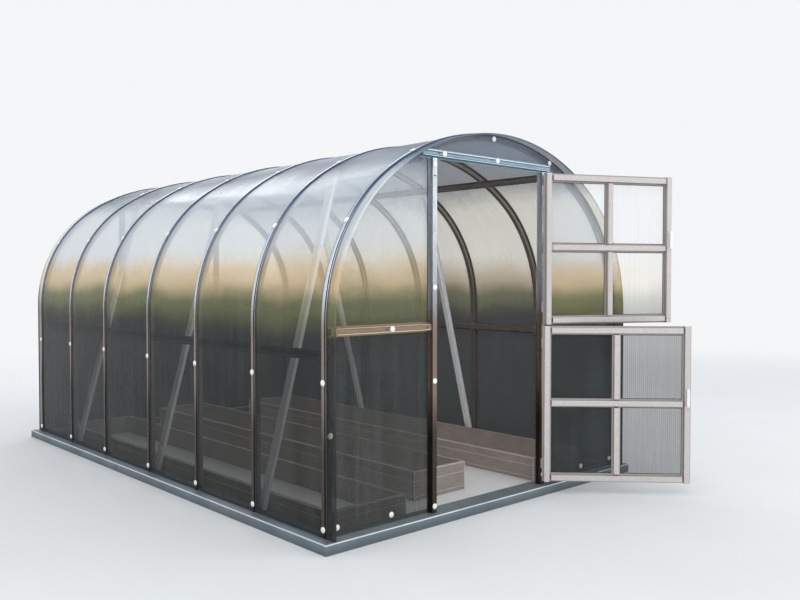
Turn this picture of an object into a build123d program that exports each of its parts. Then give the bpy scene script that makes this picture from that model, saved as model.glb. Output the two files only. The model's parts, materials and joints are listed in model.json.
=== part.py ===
from build123d import *
import math
import os

# Arched greenhouse in millimetres. X runs across the front, Y runs from the front to the rear, Z is up.
# The origin lies on the ground, on the centre line, at the middle of the front base beam.

# Overall sizes
width = 2550.0
spring_height = 1138.0
rise = 1086.0
crown_angle = 37.0
arch_count = 7
bay = 656.0
joint_bay = 718.0
overhang = 74.0
sheet = 6.0

# Base beams
plinth_height = 55.0
plinth_width = 140.0
plinth_nose = 7.0
ledge_end = 82.0
ledge_side = 66.0

# Hat section shared by arches, purlins, struts, posts and rails
hat_width = 55.0
hat_depth = 30.0
hat_crown = 33.0
steel = 1.5

# End arches, a square section
end_width = 32.0

# Outer cover strips
strip_width = 38.0
strip_crown = 22.0
strip_depth = 8.0

# Purlins and struts
purlin_lower_z = 974.0
purlin_upper_angle = 26.0
strut_foot_z = 80.0
strut_top_angle = 30.0

# Front and rear walls
door_clear = 912.0
door_offset = -59.0
lintel_drop = 158.0
wall_rail_z = 1101.0
lintel_tail_left = 64.0
lintel_tail_right = 36.0

# Door leaves
door_floor_gap = 28.0
door_top_gap = 17.0
door_split_z = 1074.0
leaf_gap = 8.0
clearance = 6.0
pane = 4.0
upper_rail_z = 1565.0
lower_rail_z = 584.0
upper_open = 154.0
lower_open = 134.0
handle_length = 116.0
handle_width = 18.0
handle_depth = 26.0
handle_grip = 9.0
handle_foot = 16.0
upper_handle_z = 1620.0
lower_handle_z = 623.0

# Hinges
pin_radius = 3.0
pin_fit = 0.05
knuckle_radius = 6.0
knuckle_length = 30.0
knuckle_gap = 0.5
hinge_stand = 0.5
hinge_plate = 2.0
hinge_leaf = 34.0
hinge_inset = 110.0

# Raised beds
bed_board = 24.0
bed_left_height = 138.0
bed_middle_height = 182.0
bed_right_height = 156.0
bed_left_width = 548.0
bed_middle_width = 451.0
bed_right_width = 519.0
bed_wall_gap = 127.0
aisle = 281.0
bed_left_front_y = 150.0
bed_middle_front_y = 380.0
bed_right_front_y = 212.0
bed_rear_gap = 260.0

# Seats
seat = 0.3

# Derived places
half = width / 2
front_y = ledge_end - plinth_width / 2
end_y = front_y + end_width / 2
middle_arch = arch_count // 2
arch_y = [end_y + bay * i + (joint_bay - bay) * (i > middle_arch) for i in range(arch_count)]
rear_y = arch_y[-1] + end_width / 2
lintel_z = spring_height + rise - lintel_drop
hat_inset = sheet + hat_depth
arch_inner = half - hat_inset
post_pitch = door_clear + hat_width
post_left_x = door_offset - post_pitch / 2
post_right_x = door_offset + post_pitch / 2
panel_y = front_y - sheet
parts = {}

# Arch curve of three tangent arcs on vertical legs
crown_turn = math.radians(crown_angle)
arc_step = (half - rise) / (math.sin(crown_turn) + math.cos(crown_turn) - 1)
side_radius = half - arc_step * math.sin(crown_turn)
side_centre_x = half - side_radius
crown_radius = side_radius + arc_step
crown_centre_z = spring_height + rise - crown_radius


def on_arch(inset, angle):
    """Point inside the arch's outer face by the inset, where the face leans by the angle, right positive."""
    a = math.radians(angle)
    if abs(angle) <= crown_angle:
        radius = crown_radius - inset
        return radius * math.sin(a), crown_centre_z + radius * math.cos(a)
    radius = side_radius - inset
    side = math.copysign(1, angle)
    return side * side_centre_x + radius * math.sin(a), spring_height + radius * math.cos(a)


def arch_line(inset):
    """Corner and middle points of the arch curve from the left foot to the right foot."""
    shoulder = (crown_angle + 90) / 2
    angles = (-90, -shoulder, -crown_angle, 0, crown_angle, shoulder, 90)
    points = [on_arch(inset, angle) for angle in angles]
    reach = half - inset
    return [(-reach, plinth_height)] + points + [(reach, plinth_height)]


def arch_edges(inset):
    """Edges of the arch curve: a leg, three arcs and a leg."""
    p = arch_line(inset)
    left = Line(p[0], p[1]) + ThreePointArc(p[1], p[2], p[3])
    right = ThreePointArc(p[5], p[6], p[7]) + Line(p[7], p[8])
    return left + ThreePointArc(p[3], p[4], p[5]) + right


def arch_face(inset, y):
    """Flat outline of an arch shape down to the base beam, filled, standing at y."""
    p = arch_line(inset)
    return Plane.XZ.offset(-y) * make_face(arch_edges(inset) + Line(p[8], p[0]))


def arch_shell(outer, inner, start, end):
    """Solid between two arch outlines from y start to y end."""
    ring = arch_face(outer, start) - arch_face(inner, start)
    return extrude(ring, amount=end - start, dir=(0, 1, 0))


def wall_reach(z):
    """Half the width between the roof sheet's inner faces at the height z."""
    shoulder_z = on_arch(sheet, crown_angle)[1]
    if z <= spring_height:
        return half - sheet
    if z <= shoulder_z:
        return side_centre_x + math.sqrt((side_radius - sheet) ** 2 - (z - spring_height) ** 2)
    return math.sqrt((crown_radius - sheet) ** 2 - (z - crown_centre_z) ** 2)


def hat_section(plane):
    """Hat profile whose flanges lie on the plane's y = 0 line, with the crown towards +y."""
    b, c, top = hat_width / 2, hat_crown / 2, hat_depth - steel
    inside = [(-b, 0), (-c + steel, 0), (-c + steel, top), (c - steel, top), (c - steel, 0), (b, 0)]
    outside = [(b, steel), (c, steel), (c, hat_depth), (-c, hat_depth), (-c, steel), (-b, steel)]
    return plane * make_face(Polyline(*inside, *outside, close=True))


def bent(section_points, y, inset):
    """Closed section bent along the arch; its points are (along Y, towards the inside) from the inset."""
    foot = Plane(origin=(inset - half, y, plinth_height), x_dir=(0, -1, 0), z_dir=(0, 0, 1))
    face = foot * make_face(Polyline(*section_points, close=True))
    return sweep(face, path=Plane.XZ.offset(-y) * arch_edges(inset))


def hat_arch(y):
    """Hat arch, flanges on the sheet and crown inward; the sheet closes it, so it is solid."""
    b, c = hat_width / 2, hat_crown / 2
    points = [
        (-b, 0), (b, 0), (b, steel), (c, steel), (c, hat_depth), (-c, hat_depth), (-c, steel), (-b, steel),
    ]
    return bent(points, y, sheet)


def cover_strip(y):
    """Outer strip that clamps the sheet, with a raised crown."""
    b, c = strip_width / 2, strip_crown / 2
    return bent([(-b, 0), (b, 0), (c, -strip_depth), (-c, -strip_depth)], y, 0)


def hat_bar(start, end, out):
    """Straight hat-section bar from start to end, with the crown pointing to out."""
    start_v, end_v, out_v = Vector(*start), Vector(*end), Vector(*out)
    along = end_v - start_v
    plane = Plane(origin=start_v, x_dir=out_v.cross(along.normalized()), z_dir=along)
    return extrude(hat_section(plane), amount=along.length)


def base_beam(corner_a, corner_b, depth_dir):
    """Base beam with mitred ends; the corners are the ends of its outer edge."""
    a, b = Vector(*corner_a), Vector(*corner_b)
    along = (b - a).normalized()
    inward = Vector(*depth_dir)
    w = plinth_width
    foot = make_face(Polyline(a, b, b - along * w + inward * w, a + along * w + inward * w, close=True))
    beam = extrude(foot, amount=plinth_height, dir=(0, 0, 1))
    nose = beam.edges().filter_by(Axis(a, along)).sort_by(Axis.Z)[-2:]
    outer = [e for e in nose if abs((e.center() - a).dot(inward)) < 1]
    return fillet(outer, plinth_nose)


def build_plinths():
    """Four base beams on the ground."""
    x = half + ledge_side
    y0, y1 = front_y - ledge_end, rear_y + ledge_end
    parts["plinth_front"] = base_beam((-x, y0, 0), (x, y0, 0), (0, 1, 0))
    parts["plinth_right"] = base_beam((x, y0, 0), (x, y1, 0), (-1, 0, 0))
    parts["plinth_rear"] = base_beam((x, y1, 0), (-x, y1, 0), (0, -1, 0))
    parts["plinth_left"] = base_beam((-x, y1, 0), (-x, y0, 0), (1, 0, 0))


def build_arches():
    """Square end arches, hat-section arches between them and the outer cover strips."""
    for i, y in enumerate(arch_y):
        if i in (0, arch_count - 1):
            parts[f"arch_{i + 1}"] = arch_shell(sheet, hat_inset, y - end_width / 2, y + end_width / 2)
        else:
            parts[f"arch_{i + 1}"] = hat_arch(y)
    parts["cover_strips"] = Compound(children=[cover_strip(y) for y in arch_y])


def build_roof():
    """Two bent sheets that meet under the middle cover strip."""
    middle = arch_y[middle_arch]
    parts["roof_sheet_front"] = arch_shell(0, sheet, front_y - overhang, middle)
    parts["roof_sheet_rear"] = arch_shell(0, sheet, middle, rear_y + overhang)


def build_purlins():
    """Four long rails on the inner faces of the arches."""
    radius = crown_radius - hat_inset
    sag = radius - math.sqrt(radius**2 - (hat_width / 2) ** 2)
    for side, name in ((-1, "left"), (1, "right")):
        x = side * arch_inner
        start, end = (x, front_y, purlin_lower_z), (x, rear_y, purlin_lower_z)
        parts[f"purlin_lower_{name}"] = hat_bar(start, end, (-side, 0, 0))
        x, z = on_arch(hat_inset + sag + seat, side * purlin_upper_angle)
        a = math.radians(side * purlin_upper_angle)
        inward = (-math.sin(a), 0, -math.cos(a))
        parts[f"purlin_upper_{name}"] = hat_bar((x, front_y, z), (x, rear_y, z), inward)


def build_struts():
    """Slanted struts at every other inner arch, left and right in turn, cut to its inner face."""
    for side, name, first in ((-1, "left", 1), (1, "right", 2)):
        solids = []
        for y in arch_y[first:-1:2]:
            foot = Vector(side * (arch_inner - hat_width / 4), y, strut_foot_z)
            x, z = on_arch(hat_inset, side * strut_top_angle)
            top = Vector(x, y, z)
            along = (top - foot).normalized()
            out = Vector(-side * along.Z, 0, side * along.X)
            bar = hat_bar(tuple(foot - along * hat_width), tuple(top + along * hat_width), tuple(out))
            room = extrude(arch_face(hat_inset + seat, y - bay / 2), amount=bay, dir=(0, 1, 0))
            solids.append(bar & room)
        parts[f"struts_{name}"] = Compound(children=solids)


def wall_sheet(x0, x1, z0, z1, y):
    """Flat sheet of an end wall, cut to the outline of the arch."""
    field = Pos((x0 + x1) / 2, y + sheet / 2, (z0 + z1) / 2) * Box(x1 - x0, sheet, z1 - z0)
    outline = extrude(arch_face(sheet + seat, y), amount=sheet, dir=(0, 1, 0))
    return field & outline


def build_lintel(face, out, low_y):
    """Bar over the posts, past them on both sides, with its ends cut to the roof sheet."""
    left = post_left_x - hat_width / 2 - lintel_tail_left
    right = post_right_x + hat_width / 2 + lintel_tail_right
    room = extrude(arch_face(sheet + seat, low_y), amount=hat_depth, dir=(0, 1, 0))
    return hat_bar((left, face, lintel_z), (right, face, lintel_z), out) & room


def build_front():
    """Posts, lintel, side rails and sheets of the front wall, with the doorway between the posts."""
    face = panel_y
    out = (0, -1, 0)
    lintel_low = lintel_z - hat_width / 2
    for name, x in (("left", post_left_x), ("right", post_right_x)):
        parts[f"front_post_{name}"] = hat_bar((x, face, plinth_height), (x, face, lintel_low - seat), out)
    parts["front_lintel"] = build_lintel(face, out, face - hat_depth)
    reach = wall_reach(wall_rail_z + hat_width / 2) - seat
    x0, x1 = -reach, post_left_x - hat_width / 2 - seat
    parts["front_rail_left"] = hat_bar((x0, face, wall_rail_z), (x1, face, wall_rail_z), out)
    x0, x1 = post_right_x + hat_width / 2 + seat, reach
    parts["front_rail_right"] = hat_bar((x0, face, wall_rail_z), (x1, face, wall_rail_z), out)
    top = spring_height + rise
    left_edge = post_left_x + hat_width / 2
    right_edge = post_right_x - hat_width / 2
    parts["front_panel_left"] = wall_sheet(-half, left_edge, plinth_height, lintel_low, face)
    parts["front_panel_right"] = wall_sheet(right_edge, half, plinth_height, lintel_low, face)
    parts["front_panel_top"] = wall_sheet(-half, half, lintel_low, top, face)


def build_rear():
    """Posts, rails and one sheet of the closed rear wall."""
    face = rear_y + sheet
    out = (0, 1, 0)
    lintel_low = lintel_z - hat_width / 2
    for name, x in (("left", post_left_x), ("right", post_right_x)):
        parts[f"rear_post_{name}"] = hat_bar((x, face, plinth_height), (x, face, lintel_low - seat), out)
    reach = wall_reach(wall_rail_z + hat_width / 2) - seat
    rails = [build_lintel(face, out, face)]
    spans = (
        (-reach, post_left_x - hat_width / 2 - seat),
        (post_left_x + hat_width / 2 + seat, post_right_x - hat_width / 2 - seat),
        (post_right_x + hat_width / 2 + seat, reach),
    )
    for x0, x1 in spans:
        rails.append(hat_bar((x0, face, wall_rail_z), (x1, face, wall_rail_z), out))
    parts["rear_rails"] = Compound(children=rails)
    parts["rear_panel"] = wall_sheet(-half, half, plinth_height, spring_height + rise, rear_y)


def build_beds():
    """Three low board frames that stand on the ground inside."""
    bed_left_x = bed_wall_gap - half
    bed_middle_x = bed_left_x + bed_left_width + aisle
    bed_right_x = half - bed_wall_gap - bed_right_width
    rows = (
        ("bed_left", bed_left_x, bed_left_width, bed_left_front_y, bed_left_height),
        ("bed_middle", bed_middle_x, bed_middle_width, bed_middle_front_y, bed_middle_height),
        ("bed_right", bed_right_x, bed_right_width, bed_right_front_y, bed_right_height),
    )
    for name, x, wide, y, tall in rows:
        long = rear_y - bed_rear_gap - y
        centre = Pos(x + wide / 2, y + long / 2, tall / 2)
        inner = Box(wide - 2 * bed_board, long - 2 * bed_board, tall)
        parts[name] = centre * (Box(wide, long, tall) - inner)


# Door leaf places when closed
crown_front_y = panel_y - hat_depth
leaf_y = crown_front_y
leaf_crown_y = leaf_y + hat_depth
pane_front_y = leaf_y - pane
leaf_x0 = post_left_x + hat_crown / 2 + clearance
leaf_x1 = post_right_x - hat_crown / 2 - clearance
hinge_x = leaf_x1 + clearance / 2
hinge_y = crown_front_y - knuckle_radius - hinge_stand
lower_z0 = plinth_height + door_floor_gap
lower_z1 = door_split_z - leaf_gap / 2
upper_z0 = door_split_z + leaf_gap / 2
upper_z1 = lintel_z - hat_crown / 2 - door_top_gap


def swing(shape, angle):
    """Turn a closed door piece open about the hinge line."""
    return Pos(hinge_x, hinge_y, 0) * Rot(0, 0, angle) * Pos(-hinge_x, -hinge_y, 0) * shape


def leaf_frame(z0, z1, rail_z):
    """Hat-section frame with one mullion and one middle rail, crowns inward, closed position."""
    into = (0, 1, 0)
    b = hat_width / 2
    middle = (leaf_x0 + leaf_x1) / 2
    bars = [hat_bar((x, leaf_y, z0), (x, leaf_y, z1), into) for x in (leaf_x0 + b, leaf_x1 - b)]
    inner_x0, inner_x1 = leaf_x0 + hat_width, leaf_x1 - hat_width
    for z in (z0 + b, rail_z, z1 - b):
        bars.append(hat_bar((inner_x0, leaf_y, z), (inner_x1, leaf_y, z), into))
    bars.append(hat_bar((middle, leaf_y, z0 + hat_width), (middle, leaf_y, rail_z - b), into))
    bars.append(hat_bar((middle, leaf_y, rail_z + b), (middle, leaf_y, z1 - hat_width), into))
    frame = bars[0]
    for bar in bars[1:]:
        frame = frame + bar
    return frame


def leaf_panes(z0, z1):
    """One clear sheet on the outside of the frame's flanges, closed position."""
    edge = (hat_width - hat_crown) / 4
    wide = leaf_x1 - leaf_x0 - 2 * edge
    tall = z1 - z0 - 2 * edge
    return Pos((leaf_x0 + leaf_x1) / 2, pane_front_y + pane / 2, (z0 + z1) / 2) * Box(wide, pane, tall)


def leaf_handle(z):
    """Bow pull on the inner crown of the free stile, closed position."""
    x = leaf_x0 + hat_width / 2
    bow = Pos(x, leaf_crown_y + handle_depth / 2, z) * Box(handle_width, handle_depth, handle_length)
    bow = fillet(bow.edges().filter_by(Axis.X).sort_by(Axis.Y)[-2:], handle_foot / 2)
    reach = handle_depth - handle_grip
    opening = Pos(x, leaf_crown_y + reach / 2, z)
    return bow - opening * Box(handle_width, reach, handle_length - 2 * handle_foot)


def knuckle(z):
    """One hinge knuckle on the hinge line."""
    return Pos(hinge_x, hinge_y, z) * Cylinder(knuckle_radius, knuckle_length)


def hinge_heights(z0, z1):
    """Heights of the two hinges of a leaf, where their upper and lower knuckles meet."""
    return z0 + hinge_inset, z1 - hinge_inset


def moving_hinge(z):
    """Upper knuckle that drops on the pin, with a plate on the leaf's outer face, closed position."""
    middle = z + (knuckle_gap + knuckle_length) / 2
    plate = Pos(hinge_x - hinge_leaf / 2, pane_front_y - hinge_plate / 2, middle)
    plate = plate * Box(hinge_leaf, hinge_plate, knuckle_length)
    bore = Pos(hinge_x, hinge_y, middle) * Cylinder(pin_radius + pin_fit, knuckle_length)
    return plate + knuckle(middle) - bore


def fixed_hinge(z):
    """Lower knuckle with the pin, with a plate on the post's crown."""
    middle = z - (knuckle_gap + knuckle_length) / 2
    pin = Pos(hinge_x, hinge_y, z) * Cylinder(pin_radius, 2 * knuckle_length + knuckle_gap)
    plate = Pos(hinge_x + hinge_leaf / 2, crown_front_y - hinge_plate / 2, middle)
    plate = plate * Box(hinge_leaf, hinge_plate, knuckle_length)
    return plate + knuckle(middle) + pin


def build_doors():
    """Both leaves, built closed and then swung open, and the fixed hinge halves."""
    leaves = (
        ("upper_door", upper_z0, upper_z1, upper_rail_z, upper_handle_z, upper_open),
        ("lower_door", lower_z0, lower_z1, lower_rail_z, lower_handle_z, lower_open),
    )
    fixed = []
    for name, z0, z1, rail_z, handle_z, angle in leaves:
        parts[f"{name}_frame"] = swing(leaf_frame(z0, z1, rail_z), angle)
        parts[f"{name}_panes"] = swing(leaf_panes(z0, z1), angle)
        parts[f"{name}_handle"] = swing(leaf_handle(handle_z), angle)
        hinges = [swing(moving_hinge(z), angle) for z in hinge_heights(z0, z1)]
        parts[f"{name}_hinges"] = Compound(children=hinges)
        fixed += [fixed_hinge(z) for z in hinge_heights(z0, z1)]
    parts["hinge_plates"] = Compound(children=fixed)


build_plinths()
build_arches()
build_roof()
build_purlins()
build_struts()
build_front()
build_rear()
build_beds()
build_doors()

os.makedirs("parts", exist_ok=True)
for node, solid in parts.items():
    export_step(solid, f"parts/{node}.step")
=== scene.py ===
import json
import logging
import math
from dataclasses import dataclass, replace
from enum import Enum
from typing import Mapping, Sequence

import bmesh
import bpy
from mathutils import Matrix, Vector

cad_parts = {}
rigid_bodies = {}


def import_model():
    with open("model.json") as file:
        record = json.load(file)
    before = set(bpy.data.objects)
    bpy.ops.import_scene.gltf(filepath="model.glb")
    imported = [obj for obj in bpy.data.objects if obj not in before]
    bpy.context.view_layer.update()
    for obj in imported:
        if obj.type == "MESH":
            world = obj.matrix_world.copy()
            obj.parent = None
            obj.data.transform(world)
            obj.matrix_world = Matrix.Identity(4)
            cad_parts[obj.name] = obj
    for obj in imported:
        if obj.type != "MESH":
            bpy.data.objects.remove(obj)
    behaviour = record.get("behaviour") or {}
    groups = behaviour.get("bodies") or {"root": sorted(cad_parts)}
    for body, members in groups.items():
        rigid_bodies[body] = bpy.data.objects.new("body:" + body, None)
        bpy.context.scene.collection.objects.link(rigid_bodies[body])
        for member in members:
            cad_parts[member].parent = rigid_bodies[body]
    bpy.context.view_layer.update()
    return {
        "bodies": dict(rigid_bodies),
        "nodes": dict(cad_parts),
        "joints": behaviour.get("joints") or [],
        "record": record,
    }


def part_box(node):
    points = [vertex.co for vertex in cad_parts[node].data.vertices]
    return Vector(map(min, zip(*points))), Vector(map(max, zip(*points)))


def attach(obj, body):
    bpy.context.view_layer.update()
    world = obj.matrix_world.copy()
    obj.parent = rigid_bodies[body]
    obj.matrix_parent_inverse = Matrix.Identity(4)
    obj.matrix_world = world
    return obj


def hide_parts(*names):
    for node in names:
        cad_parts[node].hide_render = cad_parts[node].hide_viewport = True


log = logging.getLogger("greenhouse")

Pair = tuple[float, float]
Triple = tuple[float, float, float]
Colour = tuple[float, float, float, float]
Station = tuple[Vector, Vector, Vector]
Socket = bpy.types.NodeSocket
Sockets = Mapping[str, Socket]
Node = bpy.types.Node
Tree = bpy.types.NodeTree
Row = list[bmesh.types.BMVert]

RIGHT, REARWARD, UP = Vector((1, 0, 0)), Vector((0, 1, 0)), Vector((0, 0, 1))
MIDDLE = (0.0, 2.0, 0.93)


def tone(red: int, green: int, blue: int) -> Colour:
    """Turn screen values from 0 to 255 into a linear colour.

    Args:
        red: Red value on screen.
        green: Green value on screen.
        blue: Blue value on screen.

    Returns:
        The linear colour with a full alpha.
    """

    def linear(value: int) -> float:
        """Linear share of one screen value."""
        share = value / 255
        return share / 12.92 if share <= 0.04045 else ((share + 0.055) / 1.055) ** 2.4

    return linear(red), linear(green), linear(blue), 1.0


def stand(name: str, data: bpy.types.ID) -> bpy.types.Object:
    """Put new data in the scene as an object.

    Args:
        name: Name of the object.
        data: Its mesh, lamp or camera.

    Returns:
        The object.
    """
    made = bpy.data.objects.new(name, data)
    bpy.context.scene.collection.objects.link(made)
    return made


class Slot(Enum):
    """Material slots of the record that the added pieces use."""

    GALVANISED = "galvanised_steel"
    SHEET = "clear_sheet"
    BEAM = "base_beam"
    BOARD = "bed_board"
    WHITE = "white_plastic"


class Body(Enum):
    """Bodies of the frame that a piece rides on."""

    ROOT = "root"
    UPPER = "upper_door"
    LOWER = "lower_door"


# ---------------------------------------------------------------- shader drafting


def blank_tree(owner: bpy.types.Material | bpy.types.World) -> Tree:
    """Empty the node tree of a material or a world.

    Args:
        owner: The material or world.

    Returns:
        Its node tree.
    """
    owner.use_nodes = True
    owner.node_tree.nodes.clear()
    return owner.node_tree


class Draft:
    """Adds and joins nodes in one node tree."""

    def __init__(self, tree: Tree) -> None:
        """Keep the tree that is drafted."""
        self.tree = tree

    def add(self, kind: str, **settings: object) -> Node:
        """Add a shader node and set its properties.

        Args:
            kind: Blender's name of the node type after ShaderNode.
            settings: Properties of the node by name.

        Returns:
            The new node.
        """
        node = self.tree.nodes.new(f"ShaderNode{kind}")
        for key, value in settings.items():
            setattr(node, key, value)
        return node

    def feed(self, socket: Socket, value: object) -> None:
        """Join a socket to an input, or write a plain value on it.

        Args:
            socket: The input.
            value: Socket or plain value.
        """
        if isinstance(value, bpy.types.NodeSocket):
            self.tree.links.new(value, socket)
        else:
            socket.default_value = value

    def row(self, node: Node, *values: object) -> Node:
        """Feed a node's inputs in their order.

        Args:
            node: The node.
            values: Sockets or plain values.

        Returns:
            The same node.
        """
        for socket, value in zip(node.inputs, values):
            self.feed(socket, value)
        return node

    def give(self, node: Node, **values: object) -> Node:
        """Feed a node's inputs by name.

        Args:
            node: The node.
            values: Sockets or plain values by input name, with _ for each space.

        Returns:
            The same node.
        """
        for key, value in values.items():
            self.feed(node.inputs[key.replace("_", " ")], value)
        return node

    def math(self, operation: str, *values: object, clamp: bool = False) -> Socket:
        """Add a math node and give its result."""
        return self.row(self.add("Math", operation=operation, use_clamp=clamp), *values).outputs[0]

    def vector(self, operation: str, *values: object) -> Socket:
        """Add a vector math node and give its result, which is a number for a dot product or a length."""
        plain = operation in ("DOT_PRODUCT", "LENGTH")
        return self.row(self.add("VectorMath", operation=operation), *values).outputs["Value" if plain else "Vector"]

    def weigh(self, first: Socket, second: Socket, share: float) -> Socket:
        """Weigh two masks against each other, with a share from 0 to 1 for the first."""
        return self.math("MULTIPLY_ADD", first, share, self.math("MULTIPLY", second, 1 - share))

    def ramp(self, value: object, low: object, high: object, to_low: object = 0.0, to_high: object = 1.0) -> Socket:
        """Map a value smoothly from one range to another."""
        node = self.add("MapRange", interpolation_type="SMOOTHSTEP")
        return self.row(node, value, low, high, to_low, to_high).outputs[0]

    def blend(self, share: object, first: object, second: object) -> Socket:
        """Mix two colours.

        Args:
            share: How much of the second colour shows.
            first: The first colour.
            second: The second colour.

        Returns:
            The mixed colour socket.
        """
        node = self.add("Mix", data_type="RGBA")
        for index, value in ((0, share), (6, first), (7, second)):
            self.feed(node.inputs[index], value)
        return node.outputs[2]

    def noise(self, place: Socket, scale: object, detail: float, roughness: float = 0.5) -> Socket:
        """Read soft noise at a place; detail counts its finer layers and roughness is their strength."""
        node = self.add("TexNoise")
        return self.give(node, Vector=place, Scale=scale, Detail=detail, Roughness=roughness).outputs[0]

    def upward(self, vector: Socket) -> Socket:
        """Upward share of a vector."""
        return self.give(self.add("SeparateXYZ"), Vector=vector).outputs["Z"]

    def effect(self, kind: "type[Effect]", **values: object) -> Sockets:
        """Place an effect's group, feed its inputs by name and give its outputs."""
        return self.give(self.add("Group", node_tree=kind.group()), **values).outputs


class Effect(Draft):
    """Drafts a shader group that more than one material uses; it is built once and shared."""

    label: str
    inputs: dict[str, object]
    outputs: tuple[str, ...]
    given: Sockets

    @classmethod
    def group(cls) -> Tree:
        """Give the shader group, and build it on the first call.

        Returns:
            The group's node tree.
        """
        known = bpy.data.node_groups.get(cls.label)
        if known is not None:
            return known
        tree = bpy.data.node_groups.new(cls.label, "ShaderNodeTree")
        for name, default in cls.inputs.items():
            kind = "NodeSocketFloat" if isinstance(default, float) else "NodeSocketVector"
            tree.interface.new_socket(name=name, in_out="INPUT", socket_type=kind).default_value = default
        for name in cls.outputs:
            tree.interface.new_socket(name=name, in_out="OUTPUT", socket_type="NodeSocketFloat")
        made = cls(tree)
        made.given = tree.nodes.new("NodeGroupInput").outputs
        made.row(tree.nodes.new("NodeGroupOutput"), *made.draw())
        return tree

    def draw(self) -> list[Socket]:
        """Draw the effect and give its outputs in order; each effect has its own way."""
        raise NotImplementedError


class Mottle(Effect):
    """Soft uneven patches, for sheet, paint and boards."""

    label, outputs = "mottle", ("Patch",)
    inputs = {"Vector": (0.0, 0.0, 0.0), "Scale": 8.0, "Spread": 0.2}

    def draw(self) -> list[Socket]:
        """Lay noise and spread its middle range.

        Returns:
            The patches.
        """
        noise = self.noise(self.given["Vector"], self.given["Scale"], 4.0, 0.6)
        low, high = (self.math(way, 0.5, self.given["Spread"]) for way in ("SUBTRACT", "ADD"))
        return [self.ramp(noise, low, high)]


class Brushed(Effect):
    """Fine streaks drawn out along one direction, for rolled steel and boards."""

    label, outputs = "brushed", ("Streak",)
    inputs = {"Vector": (0.0, 0.0, 0.0), "Stretch": (60.0, 60.0, 60.0)}

    def draw(self) -> list[Socket]:
        """Stretch the place and lay fine noise on it."""
        place = self.vector("MULTIPLY", self.given["Vector"], self.given["Stretch"])
        return [self.ramp(self.noise(place, 1.0, 5.0), 0.3, 0.7)]


class Spangle(Effect):
    """Crystal flakes of a zinc coat."""

    label, outputs = "spangle", ("Flake",)
    inputs = {"Vector": (0.0, 0.0, 0.0), "Scale": 90.0}

    def draw(self) -> list[Socket]:
        """Give every cell a shade of its own and soften it with noise.

        Returns:
            The flakes.
        """
        place, scale = self.given["Vector"], self.given["Scale"]
        cells = self.give(self.add("TexVoronoi"), Vector=place, Scale=scale)
        shades = self.row(self.add("SeparateColor"), cells.outputs["Color"])
        noise = self.noise(place, self.math("MULTIPLY", scale, 2.5), 3.0)
        half = self.math("MULTIPLY", shades.outputs[0], 0.55)
        return [self.math("MULTIPLY_ADD", noise, 0.45, half, clamp=True)]


class Flutes(Effect):
    """Even webs of a twin-wall sheet, across one coordinate."""

    label, outputs = "flutes", ("Line", "Swell")
    inputs = {"Coordinate": 0.0, "Pitch": 0.01, "Web": 0.14}

    def draw(self) -> list[Socket]:
        """Fold the coordinate into one channel, mark its two edges and swell its middle.

        Returns:
            The lines of the webs and the swell between them.
        """
        along = self.math("DIVIDE", self.given["Coordinate"], self.given["Pitch"])
        channel = self.math("PINGPONG", along, 0.5)
        line = self.ramp(channel, 0.0, self.given["Web"], 1.0, 0.0)
        return [line, self.math("SINE", self.math("MULTIPLY", channel, math.pi))]


class Rise(Effect):
    """Mask that is full near the ground and fades with height, with an uneven edge."""

    label, outputs = "film by height", ("Mask",)
    inputs = {"Vector": (0.0, 0.0, 0.0), "Low": 0.9, "High": 1.6, "Wobble": 0.3}

    def draw(self) -> list[Socket]:
        """Shift the height by noise and fade it between two heights.

        Returns:
            The mask.
        """
        noise = self.math("SUBTRACT", self.noise(self.given["Vector"], 1.7, 3.0), 0.5)
        shift = self.math("MULTIPLY", noise, self.given["Wobble"])
        height = self.math("ADD", self.upward(self.given["Vector"]), shift)
        return [self.ramp(height, self.given["Low"], self.given["High"], 1.0, 0.0)]


class Dust(Effect):
    """Thin dust that lies on faces turned up."""

    label, outputs = "dust", ("Dust",)
    inputs = {"Vector": (0.0, 0.0, 0.0), "Amount": 0.3}

    def draw(self) -> list[Socket]:
        """Take the upward share of the normal and break it with noise.

        Returns:
            The dust.
        """
        up = self.ramp(self.upward(self.add("NewGeometry").outputs["Normal"]), 0.35, 0.95)
        patch = self.ramp(self.noise(self.given["Vector"], 14.0, 4.0), 0.3, 0.7, 0.4, 1.0)
        return [self.math("MULTIPLY", self.math("MULTIPLY", up, patch), self.given["Amount"])]


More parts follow.
